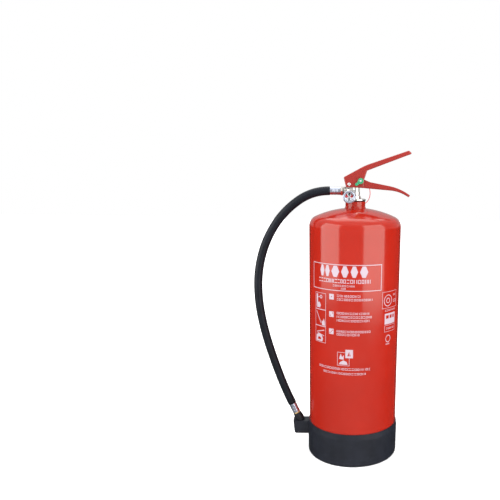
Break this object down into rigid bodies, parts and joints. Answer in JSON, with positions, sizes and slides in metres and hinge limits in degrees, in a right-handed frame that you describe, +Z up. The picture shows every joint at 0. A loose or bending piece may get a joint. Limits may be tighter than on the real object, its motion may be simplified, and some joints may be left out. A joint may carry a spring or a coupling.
{
  "type": "fire extinguisher",
  "caption": "Stored-pressure water fire extinguisher: red steel cylinder, squeeze-grip valve with gauge and safety pin, side hose, nozzle clipped in a black boot.",
  "frame": {"origin": "on the cylinder's axis, at the flat underside of the boot that the extinguisher stands on", "axes": "+Z up along the cylinder; +X towards the levers' free ends, -X towards the hose outlet and nozzle holder; -Y towards the side that carries the gauge"},
  "size_m": [0.307, 0.186, 0.615],
  "materials": {
    "red_paint": "gloss powder coat",
    "lever_red": "gloss powder coat",
    "boot_plastic": "semi-matt moulded",
    "nozzle_plastic": "semi-matt moulded",
    "black_rubber": "matt",
    "hose_rubber": "satin extruded",
    "nickel": "nickel-plated brass forging",
    "chrome": "bright plated",
    "steel": "zinc-plated",
    "brass": "machined",
    "white_plastic": "moulded",
    "clear_glass": "clear",
    "dial_face": "printed",
    "needle_black": "painted",
    "green_plastic": "moulded",
    "seal_plastic": "moulded"
  },
  "bodies": {
    "extinguisher": {"cylinder_shell": "red_paint", "base_dome": "red_paint", "neck_collar": "red_paint", "base_boot": "boot_plastic", "neck_gasket": "black_rubber", "valve_body": "nickel", "spindle_oring": "black_rubber", "spindle_spring": "steel", "dip_tube_adaptor": "white_plastic", "dip_tube": "white_plastic", "dip_tube_strainer": "white_plastic", "gauge_washer": "black_rubber", "gauge_case": "chrome", "gauge_bezel": "chrome", "gauge_lens": "clear_glass", "gauge_dial": "dial_face", "carry_handle": "lever_red", "pivot_rivet": "steel", "handle_roll_pin": "steel", "outlet_washer": "black_rubber", "hose_union": "nickel", "ferrule_top": "chrome", "hose": "hose_rubber"},
    "lever": {"operating_lever": "lever_red", "tamper_seal": "seal_plastic", "seal_lock": "seal_plastic"},
    "pin": {"safety_pin": "steel"},
    "tab": {"pin_tab": "green_plastic"},
    "spindle": {"valve_spindle": "steel", "spindle_seal": "black_rubber"},
    "needle": {"gauge_needle": "needle_black"},
    "nozzle_assembly": {"ferrule_bottom": "chrome", "nozzle_union": "brass", "nozzle": "nozzle_plastic"}
  },
  "joints": [
    {"name": "lever_squeeze", "type": "hinge", "parent": "extinguisher", "child": "lever", "pos_m": [-0.0125, 0, 0.5513], "axis": [0, 1, 0], "range_deg": [0, 14], "stiffness_Nm_per_rad": 4, "springref_deg": -6.88},
    {"name": "spindle_slide", "type": "slide", "parent": "extinguisher", "child": "spindle", "axis": [0, 0, -1], "range_m": [0, 0.0035], "deforming": ["spindle_spring"]},
    {"name": "pin_pull", "type": "slide", "parent": "lever", "child": "pin", "axis": [0, -1, 0], "range_m": [0, 0.045]},
    {"name": "tab_turn", "type": "hinge", "parent": "pin", "child": "tab", "pos_m": [0.0096, 0, 0.5576], "axis": [0, -1, 0], "continuous": true},
    {"name": "needle_swing", "type": "hinge", "parent": "extinguisher", "child": "needle", "pos_m": [-0.0119, 0, 0.5238], "axis": [0, -1, 0], "range_deg": [-48, 48], "stiffness_Nm_per_rad": 0.0005},
    {"name": "nozzle_release", "type": "slide", "parent": "extinguisher", "child": "nozzle_assembly", "axis": [-0.4216, 0, 0.9068], "range_m": [0, 0.045], "deforming": ["hose"]}
  ],
  "couplings": [
    {"joint": "spindle_slide", "follows": "lever_squeeze", "m_per_rad": 0.0142}
  ]
}
